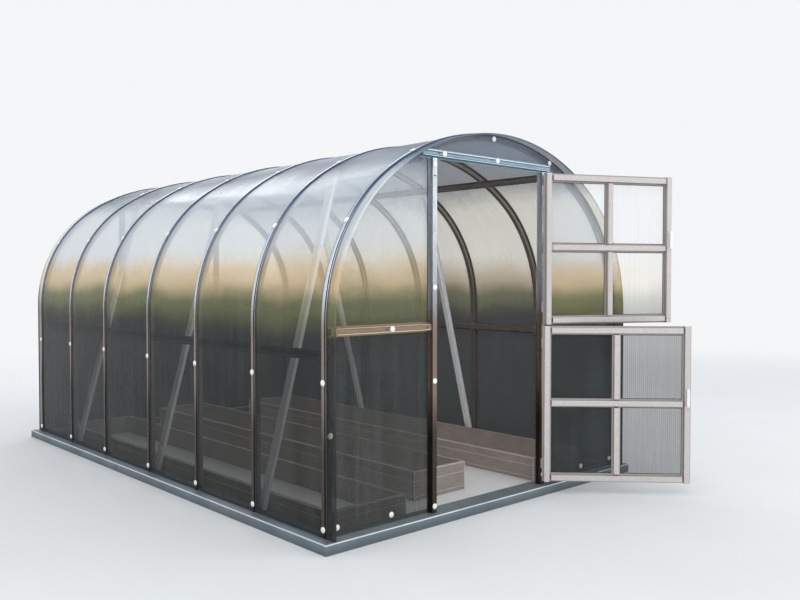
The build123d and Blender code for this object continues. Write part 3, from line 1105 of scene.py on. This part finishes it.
@dataclass
class Roof:
    """Bent sheets, the cover strips on them, their seals and caps."""

    frame: dict
    strip_half: float = 0.019
    crown_half: float = 0.0095
    crown: float = 0.008
    crown_turn: Triple = (0.0012, 0.0012, 0.0014)
    flange: float = 0.0016
    bead: Pair = (0.0022, 0.003)
    bead_places: Triple = (0.0009, 0.0042, 0.0052)
    seal_reach: Pair = (-0.001, 0.0042)
    seal_lip: Pair = (0.0022, 0.0012)
    sheet: float = 0.006
    front: float = -0.062
    rear: float = 4.116
    cap_heights: Pair = (0.099, 0.844)
    cap_leans: Pair = (57.66, 26.76)
    cap_seats: Pair = (0.0004, 0.0006)
    foot_lift: float = 0.0005
    lip: float = 0.006
    lip_skin: float = 0.0007
    lip_gap: float = 0.0001
    foot_z: float = 0.0635
    foot_seal: Pair = (0.017, 0.0022)
    foot_gaps: Pair = (0.005, 0.002)

    def build(self) -> None:
        """Dress the sheets and strips and add what lies on them."""
        dress(self.frame, ROOF_SHEET, "roof_sheet_front", "roof_sheet_rear")
        self.strips()
        self.seals()
        self.caps()
        self.edge_profiles()
        self.foot_seals()

    def strips(self) -> None:
        """Rolled cover strips: a raised crown, two side walls and two narrow beaded flanges; the outer edges, the
        beads' inner slopes, the flanges and the side walls wear a darker copy of the steel as painted shade.
        """
        shape = Shape("cover_strips_rolled")
        w, c, h, low, (edge, bead) = self.strip_half, self.crown_half, self.crown, self.flange, self.bead
        first, last, foot = self.bead_places
        spread, drop, shoulder = self.crown_turn
        half = [
            (-w, 0.0), (-w, edge), (-w + first, bead), (-w + last, bead), (-w + foot, low), (-c - spread, low),
            (-c, h - drop), (-c + shoulder, h),
        ]
        # Bands marked 1 wear the darker copy of the steel as painted shade.
        sides = (1, 0, 0, 1, 1, 1, 0)
        for y in LINE.rows:
            profile = half + [(-a, b) for a, b in reversed(half)]
            shape.sweep(profile, LINE.stations(y), bands=(*sides, 0, *reversed(sides), 1))
        made = shape.finish(STRIP_CROWN, Slot.GALVANISED, second=STRIP_SHADED_SIDE)
        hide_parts("cover_strips")

    def seals(self) -> None:
        """Dark rubber lips that show on both sides of each cover strip; they also stand in for the shade beside each
        strip.
        """
        for number, y in enumerate(LINE.rows, 1):
            shape = Shape(f"strip_seal_{number}")
            for side in (-1, 1):
                a, b = (side * (self.strip_half + reach) for reach in self.seal_reach)
                shape.sweep([(a, 0.0), (a, self.seal_lip[0]), (b, self.seal_lip[1]), (b, 0.0)], LINE.stations(y))
            shape.finish(RUBBER, Slot.GALVANISED)

    def caps(self) -> None:
        """White caps along the crest of every cover strip."""
        shape = Shape("strip_caps")
        on_leg, on_arc = (self.crown - seat for seat in self.cap_seats)
        for y in LINE.rows:
            for side in (-1, 1):
                for z in self.cap_heights:
                    CAP.lay(shape, Vector((side * (LINE.half + on_leg), y, z)), side * RIGHT)
                for lean in self.cap_leans:
                    CAP.lay(shape, *LINE.at(side * lean, y, on_arc))
        shape.finish(WHITE, Slot.WHITE)

    def edge_profiles(self) -> None:
        """Thin clear U-shaped profiles that close the flutes at the two overhangs."""
        skin, gap = self.lip_skin, self.lip_gap
        for name, y, into in (("front", self.front, 1), ("rear", self.rear, -1)):
            shape = Shape(f"roof_edge_profile_{name}")
            back, lip, foot = -skin * into, self.lip * into, -self.sheet
            profile = [
                (back, skin), (lip, skin), (lip, gap), (0, gap), (0, foot - gap), (lip, foot - gap),
                (lip, foot - skin), (back, foot - skin),
            ]
            shape.sweep(profile, LINE.stations(y, foot=LINE.foot + self.foot_lift))
            shape.finish(SHEET_END, Slot.SHEET)

    def foot_seals(self) -> None:
        """Dark rubber strips where the sheets stand on the base beams; they also stand in for the shade at the sheets'
        foot.
        """
        shape = Shape("sheet_foot_seals")
        by_strip, by_end = self.strip_half + self.foot_gaps[0], self.foot_gaps[1]
        for side in (-1, 1):
            for y0, y1 in zip((self.front, *LINE.rows), (*LINE.rows, self.rear)):
                clear = [by_strip if y in LINE.rows else by_end for y in (y0, y1)]
                ends = [Vector((side * LINE.half, y, self.foot_z)) for y in (y0 + clear[0], y1 - clear[1])]
                shape.bar(*ends, side * RIGHT, *self.foot_seal)
        shape.finish(RUBBER, Slot.BEAM)


@dataclass
class Skeleton:
    """Arches, purlins and struts with their bolts."""

    frame: dict
    inset: float = 0.036
    purlin_low: float = 0.974
    purlin_lean: float = 26.0
    gauge: float = 0.0222
    flange_low: float = 0.0016
    flange_high: float = 0.0022

    def build(self) -> None:
        """Dress the steel and add the bolts."""
        purlins = [f"purlin_{level}_{side}" for level in ("lower", "upper") for side in ("left", "right")]
        dress(self.frame, ARCH_STEEL, *(f"arch_{i}" for i in range(1, 8)), *purlins)
        dress(self.frame, STRUT_STEEL, "struts_left", "struts_right")
        self.bolts()

    def bolts(self) -> None:
        """Two bolts where each purlin flange crosses an arch."""
        shape = Shape("purlin_bolts")
        steps = (-self.gauge, self.gauge)
        for y in LINE.rows:
            for side in (-1, 1):
                face = side * (LINE.half - self.inset - self.flange_low)
                for step in steps:
                    BOLT.lay(shape, Vector((face, y, self.purlin_low + step)), -side * RIGHT)
                point, normal = LINE.at(side * self.purlin_lean, y, -self.inset - self.flange_high)
                along = Vector((normal.z, 0, -normal.x))
                for step in steps:
                    BOLT.lay(shape, point + along * step, -normal)
        shape.finish(GALVANISED, Slot.GALVANISED)


@dataclass
class Wall:
    """One end wall: sheets, posts, lintel, rails, caps and slots."""

    frame: dict
    name: str
    face: float
    out: float
    nodes: dict[Finish, tuple[str, ...]]
    caps_crown: tuple[Pair, ...]
    caps_flange: tuple[Pair, ...]
    rail_ends: tuple[Pair, ...]
    slots: tuple[Pair, ...] = ()
    depth: float = 0.030
    posts: Pair = (-0.5425, 0.4245)
    lintel: float = 2.066
    lintel_ends: Pair = (-0.6335, 0.4875)
    rail: float = 1.101
    foot: float = 0.057
    hat_half: float = 0.029
    seal: Pair = (0.0034, 0.0018)
    seal_place: float = 0.0298
    cap_seat: float = 0.0002
    slot_half: float = 0.009
    slot: Pair = (0.006, 0.0004)
    # Painted shadow lines and painted highlights on the lintel and rail crowns: offset and height.
    lintel_shadow_lines: tuple[Pair, ...] = ((0.0078, 0.0070), (-0.0112, 0.0034))
    lintel_highlights: tuple[Pair, ...] = ((0.0138, 0.0034), (-0.0150, 0.0026))
    rail_shadow_lines: tuple[Pair, ...] = ((0.0118, 0.0024), (-0.0106, 0.0022))
    rail_highlights: tuple[Pair, ...] = ((0.0150, 0.0020), (-0.0142, 0.0034))
    line_seat: float = 0.0001
    line_tall: float = 0.0004
    line_edge: float = 0.0002
    line_inset: float = 0.0085

    def place(self, x: float, z: float, height: float = 0.0) -> Vector:
        """Point of the wall at a height outside its sheets."""
        return Vector((x, self.face + self.out * height, z))

    def build(self) -> None:
        """Dress the wall and add its small pieces."""
        for finish, nodes in self.nodes.items():
            dress(self.frame, finish, *nodes)
        out, crown = self.out * REARWARD, self.depth - self.cap_seat
        caps = Shape(f"{self.name}_wall_caps")
        for places, height in ((self.caps_crown, crown), (self.caps_flange, self.cap_seat)):
            for x, z in places:
                CAP.lay(caps, self.place(x, z, height), out)
        caps.finish(WHITE, Slot.WHITE)
        if self.slots:
            # Dark bars stand in for the shade inside the slots: painted shade.
            holes = Shape(f"{self.name}_wall_slots")
            for x, z in self.slots:
                ends = [self.place(x + step, z, crown) for step in (-self.slot_half, self.slot_half)]
                holes.bar(*ends, out, *self.slot)
            holes.finish(SLOT_DARK, Slot.GALVANISED)
        self.painted_lines()
        self.seals()

    def painted_lines(self) -> None:
        """Painted shadow lines and painted highlights along the crowns of the lintel and the rails."""
        # The dark runs are painted shadow, the light runs painted highlight.
        for label, finish, on_lintel, on_rail in (
            ("painted_lines", SHADOW_LINE, self.lintel_shadow_lines, self.rail_shadow_lines),
            ("edges", HIGHLIGHT_LINE, self.lintel_highlights, self.rail_highlights),
        ):
            shape = Shape(f"{self.name}_wall_{label}")
            runs = [(self.lintel_ends, self.lintel + step, tall) for step, tall in on_lintel]
            runs += [(ends, self.rail + step, tall) for ends in self.rail_ends for step, tall in on_rail]
            for (low, high), z, tall in runs:
                room = LINE.reach(z + tall / 2, self.line_inset)
                ends = [self.place(x, z, self.depth - self.line_seat) for x in (max(low, -room), min(high, room))]
                shape.bar(*ends, self.out * REARWARD, tall, self.line_tall, self.line_edge)
            shape.finish(finish, Slot.GALVANISED)

    def seals(self) -> None:
        """Dark rubber lips along the posts on the outside of the sheets."""
        shape = Shape(f"{self.name}_wall_seals")
        clear = self.hat_half
        for post, side in zip(self.posts, (-1, 1)):
            x = post + side * self.seal_place
            for low, high in ((self.foot, self.rail - clear), (self.rail + clear, self.lintel - clear)):
                shape.bar(self.place(x, low), self.place(x, high), self.out * REARWARD, *self.seal)
        shape.finish(RUBBER, Slot.GALVANISED)


@dataclass
class DoorLeaf:
    """One door leaf, drawn closed and swung open with its node."""

    frame: dict
    body: Body
    low: float
    high: float
    rail: float
    opened: float
    left: float = -0.520
    right: float = 0.402
    flange: float = -0.024
    hat: float = 0.055
    crown: float = 0.033
    depth: float = 0.030
    pane: float = 0.004
    recess_band: Pair = (0.006, 0.024)
    seal: Pair = (0.0032, 0.0022)
    joint: Pair = (0.0012, 0.0003)
    joint_seat: float = 0.0001
    screw_seat: float = 0.0002
    screw_count: int = 5
    hinge: Pair = (0.405, -0.0305)

    @property
    def swing(self) -> Matrix:
        """Turn from closed to the open place in the frame."""
        pivot, turn = Vector((*self.hinge, 0)), Matrix.Rotation(math.radians(self.opened), 4, "Z")
        return Matrix.Translation(pivot) @ turn @ Matrix.Translation(-pivot)

    def openings(self) -> list[tuple[float, float, float, float]]:
        """Clear rectangles between the flanges.

        Returns:
            Low x, high x, low z and high z of each.
        """
        middle, b = (self.left + self.right) / 2, self.hat / 2
        columns = ((self.left + self.hat, middle - b), (middle + b, self.right - self.hat))
        rows = ((self.low + self.hat, self.rail - b), (self.rail + b, self.high - self.hat))
        return [(x0, x1, z0, z1) for x0, x1 in columns for z0, z1 in rows]

    def build(self) -> None:
        """Dress the leaf and add seals, joints and screws."""
        name, turn = self.body.value, math.radians(self.opened)
        inward = self.swing.to_3x3() @ REARWARD
        flat = (self.swing @ Vector((0, self.flange, 0))).dot(inward)
        band = tuple(flat + height for height in self.recess_band)
        # The frame steel gets painted shade deep in its recess.
        steel = replace(DOOR_STEEL, name=f"steel {name}", recess=tuple(inward), recess_band=band)
        glass = replace(PANE, name=f"clear pane {name}", across=(math.cos(turn), math.sin(turn), 0.0))
        for finish, part in ((steel, "frame"), (glass, "panes"), (WHITE, "handle"), (GALVANISED, "hinges")):
            dress(self.frame, finish, f"{name}_{part}")
        self.pane_seals()
        self.joints()
        self.screws()

    def hang(self, shape: Shape, finish: Finish) -> None:
        """Swing a shape drawn closed to the leaf's open place and finish it."""
        shape.mesh.transform(self.swing)
        shape.finish(finish, Slot.GALVANISED, self.body)

    def pane_seals(self) -> None:
        """Dark beads that hold the panes, seen inside each opening; they also stand in for the shade of the frame's
        side walls.
        """
        shape = Shape(f"{self.body.value}_pane_seals")
        for x0, x1, z0, z1 in self.openings():
            corners = [Vector((x, self.flange, z)) for x, z in ((x0, z0), (x1, z0), (x1, z1), (x0, z1))]
            shape.hoop(corners, REARWARD, *self.seal)
        self.hang(shape, RUBBER)

    def joints(self) -> None:
        """Fine dark lines where the rails meet the stiles."""
        shape = Shape(f"{self.body.value}_joint_lines")
        y, c, b = self.flange + self.depth - self.joint_seat, self.crown / 2, self.hat / 2
        for z in (self.low + b, self.rail, self.high - b):
            for x in (self.left + self.hat, self.right - self.hat):
                shape.bar(Vector((x, y, z - c)), Vector((x, y, z + c)), REARWARD, *self.joint)
        self.hang(shape, SLOT_DARK)

    def screws(self) -> None:
        """Screw heads on the outer face, round the pane's edge."""
        shape = Shape(f"{self.body.value}_screws")
        y, edge, last = self.flange - self.pane + self.screw_seat, self.hat / 4, self.screw_count - 1
        (left, right), (low, high) = ((a + edge, b - edge) for a, b in ((self.left, self.right), (self.low, self.high)))
        places = [(left + (right - left) * i / last, z) for i in range(last + 1) for z in (low, high)]
        places += [(x, low + (high - low) * i / last) for i in range(1, last) for x in (left, right)]
        for x, z in places:
            SMALL_HEAD.lay(shape, Vector((x, y, z)), -REARWARD)
        self.hang(shape, GALVANISED)


@dataclass
class Hinges:
    """Fixed hinge halves with screw heads."""

    frame: dict
    heights: tuple[float, ...] = (0.193, 0.960, 1.188, 1.9225)
    drop: float = 0.01525
    gauge: float = 0.008
    screw_x: float = 0.428
    screw_y: float = -0.0258

    def build(self) -> None:
        """Dress the plates and add two screw heads on each."""
        dress(self.frame, GALVANISED, "hinge_plates")
        shape = Shape("hinge_plate_screws")
        for z in self.heights:
            for step in (-self.gauge, self.gauge):
                SMALL_HEAD.lay(shape, Vector((self.screw_x, self.screw_y, z - self.drop + step)), -REARWARD)
        shape.finish(GALVANISED, Slot.GALVANISED)


@dataclass
class Bed:
    """Low board frame with two raised lines and light edges, all lighter as painted highlights."""

    frame: dict
    node: str
    ribs: Pair = (0.14, 0.65)
    rib: float = 0.003
    proud: float = 0.0022
    rim: float = 0.006
    corner: float = 0.004
    edge_proud: float = 0.0014
    rib_round: float = 0.0008
    edge_round: float = 0.0006
    band_gap: float = 0.001
    corner_gap: float = 0.003
    foot_gap: float = 0.001
    top_gap: float = 0.0005

    def build(self) -> None:
        """Dress the boards and lay the lines round them."""
        dress(self.frame, BOARD, self.node)
        low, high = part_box(self.node)
        shape = Shape(f"{self.node}_lines")
        corners = [Vector((x, y, 0)) for x, y in ((low.x, low.y), (high.x, low.y), (high.x, high.y), (low.x, high.y))]
        bands = [(high.z * share, self.rib, self.proud, self.rib_round) for share in self.ribs]
        bands.append((high.z - self.rim / 2, self.rim, self.edge_proud, self.edge_round))
        for a, b, out in zip(corners, corners[1:] + corners[:1], (-REARWARD, RIGHT, REARWARD, -RIGHT)):
            along = (b - a).normalized()
            start, end = a + along * self.band_gap, b - along * self.band_gap
            for z, wide, proud, edge in bands:
                shape.bar(start + UP * z, end + UP * z, out, wide, proud, edge)
            for place in (a + along * self.corner_gap, b - along * self.corner_gap):
                ends = [place + UP * z for z in (self.foot_gap, high.z - self.top_gap)]
                shape.bar(*ends, out, self.corner, self.edge_proud, self.edge_round)
        shape.finish(BOARD_HIGHLIGHT, Slot.BOARD)


# ---------------------------------------------------------------- studio


@dataclass
class Studio:
    """Camera, lamps, floor and backdrop."""

    lens: float = 832.27 / 800 * 36
    place: Triple = (-3.8035, -3.3196, 1.3779)
    pitch: float = -1.5814
    yaw: float = 42.2948
    horizon: Colour = tone(244, 246, 248)
    zenith: Colour = tone(150, 184, 222)
    neutral: Colour = tone(222, 226, 232)
    sky_steps: Pair = (0.3, 0.95)
    floor_tones: tuple[Colour, Colour] = (tone(230, 231, 230), tone(235, 236, 236))
    floor_patches: Pair = (0.8, 0.4)
    floor_radius: float = 60.0
    floor_drop: float = 0.0015
    fade: Pair = (4.5, 13.0)
    aim: Triple = (0.0, 1.8, 0.9)

    def build(self) -> None:
        """Set up the whole studio."""
        self.camera()
        self.backdrop()
        self.floor()
        self.lamp("key", (-6.5, -6.0, 7.0), 8.0, 430.0, (1.0, 0.985, 0.96))
        self.lamp("fill", (5.5, -5.0, 4.0), 5.0, 150.0, (1.0, 0.99, 0.98))
        self.lamp("rim", (3.5, 9.5, 6.0), 5.0, 180.0, (1.0, 1.0, 1.0))
        bpy.context.scene.view_settings.view_transform = "Standard"

    def camera(self) -> None:
        """Camera where the photograph was taken from."""
        data = bpy.data.cameras.new("camera")
        data.sensor_width = 36.0
        data.lens = self.lens
        data.clip_end = 200.0
        made = stand("camera", data)
        made.location = self.place
        made.rotation_euler = (math.radians(90 + self.pitch), 0.0, -math.radians(self.yaw))
        bpy.context.scene.camera = made

    def seen(self, draft: Draft) -> Socket:
        """Mask of the rays that show the background: straight, mirrored or passed through.

        Args:
            draft: Draft of the material or the world.

        Returns:
            The mask.
        """
        path = draft.add("LightPath").outputs
        first = draft.math("ADD", path["Is Camera Ray"], path["Is Glossy Ray"])
        return draft.math("ADD", first, path["Is Transmission Ray"], clamp=True)

    def backdrop(self) -> None:
        """Pale world, a little bluer overhead."""
        world = bpy.data.worlds.new("pale backdrop")
        draft = Draft(blank_tree(world))
        height = draft.upward(draft.add("TexCoord").outputs["Generated"])
        sky = draft.blend(draft.ramp(height, *self.sky_steps), self.horizon, self.zenith)
        colour = draft.blend(self.seen(draft), self.neutral, sky)
        background = draft.give(draft.add("Background"), Color=colour, Strength=1.0)
        draft.give(draft.add("OutputWorld"), Surface=background.outputs[0])
        bpy.context.scene.world = world

    def floor(self) -> None:
        """Plain pale floor that fades into the backdrop far away."""
        mesh = bmesh.new()
        bmesh.ops.create_circle(mesh, cap_ends=True, segments=96, radius=self.floor_radius)
        mesh.transform(Matrix.Translation((0, MIDDLE[1], -self.floor_drop)))
        data = bpy.data.meshes.new("floor")
        mesh.to_mesh(data)
        mesh.free()
        made = stand("floor", data)
        material = bpy.data.materials.new("pale floor")
        data.materials.append(material)
        coat = Coat(material)
        colour = coat.blend(coat.patch(*self.floor_patches), *self.floor_tones)
        coat.wear(Base_Color=colour, Roughness=0.8, Specular_IOR_Level=0.1)
        glow = coat.give(coat.add("Emission"), Color=self.horizon, Strength=1.0)
        share = coat.math("MULTIPLY", coat.ramp(coat.vector("LENGTH", coat.spot), *self.fade), self.seen(coat))
        mix = coat.row(coat.add("MixShader"), share, coat.shader.outputs[0], glow.outputs[0])
        coat.give(coat.output, Surface=mix.outputs[0])

    def lamp(self, name: str, place: Triple, size: float, power: float, colour: Triple) -> None:
        """Add a large soft lamp that points at the middle of the greenhouse.

        Args:
            name: Name of the lamp.
            place: Where it hangs.
            size: Side of its square face.
            power: Power in watts.
            colour: Colour of its light.
        """
        data = bpy.data.lights.new(name, "AREA")
        data.shape = "SQUARE"
        data.size = size
        data.energy = power
        data.color = colour
        made = stand(name, data)
        made.location = place
        made.rotation_euler = (Vector(self.aim) - Vector(place)).to_track_quat("-Z", "Y").to_euler()


# ---------------------------------------------------------------- whole greenhouse


@dataclass
class Greenhouse:
    """All sub-assemblies in the order in which they are dressed."""

    frame: dict

    def front(self) -> Wall:
        """Front wall, with the lintel and the doorway."""
        nodes = {
            POST_STEEL: ("front_post_left", "front_post_right"),
            RAIL_STEEL: ("front_rail_left", "front_rail_right"),
            LINTEL_STEEL: ("front_lintel",),
            WALL_SHEET: ("front_panel_left", "front_panel_right", "front_panel_top"),
        }
        return Wall(
            self.frame, "front", 0.006, -1.0, nodes,
            caps_crown=(
                (-0.5425, 1.320), (-0.5425, 0.797), (-0.5425, 0.093), (-0.5425, 2.002), (-0.859, 1.101),
                (-0.4666, 2.068), (-0.0176, 2.070), (0.4245, 0.120),
            ),
            caps_flange=(
                (-1.212, 0.1016), (-0.842, 0.0969), (0.877, 0.0965), (-1.254, 0.576), (-0.017, 2.2035),
                (0.5195, 2.108), (1.212, 0.1016), (1.254, 0.576),
            ),
            rail_ends=((-1.226, -0.574), (0.456, 1.226)),
            slots=((-0.511, 2.067), (-0.070, 2.070), (-0.5425, 1.940), (-0.897, 1.101), (-0.600, 1.101)),
        )

    def rear(self) -> Wall:
        """Rear wall, which is closed."""
        nodes = {
            POST_STEEL: ("rear_post_left", "rear_post_right"), RAIL_STEEL: ("rear_rails",),
            WALL_SHEET: ("rear_panel",),
        }
        posts = tuple((x, z) for x in (-0.5425, 0.4245) for z in (1.320, 0.797, 0.093))
        return Wall(
            self.frame, "rear", 4.048, 1.0, nodes,
            caps_crown=(*posts, (-0.859, 1.101), (0.741, 1.101), (-0.059, 1.101), (-0.3, 2.066), (0.2, 2.066)),
            caps_flange=((-1.2286, 0.1016), (-0.842, 0.0969), (0.842, 0.0969), (1.2286, 0.1016)),
            rail_ends=((-1.226, -0.574), (-0.511, 0.393), (0.456, 1.226)),
        )

    def build(self) -> None:
        """Build every sub-assembly and report it."""
        frame = self.frame
        parts = [
            BaseFrame(frame), Roof(frame), Skeleton(frame), self.front(), self.rear(),
            DoorLeaf(frame, Body.UPPER, low=1.078, high=2.0325, rail=1.565, opened=154.0),
            DoorLeaf(frame, Body.LOWER, low=0.083, high=1.070, rail=0.584, opened=134.0),
            Hinges(frame), *(Bed(frame, f"bed_{place}") for place in ("left", "middle", "right")),
        ]
        for part in parts:
            log.info("building %s", type(part).__name__)
            part.build()


def main() -> None:
    """Load the frame, dress the greenhouse, set up the studio and note the sizes."""
    logging.basicConfig(level=logging.INFO, format="%(name)s: %(message)s")
    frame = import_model()
    Greenhouse(frame).build()
    Studio().build()


if __name__ == "__main__":
    main()
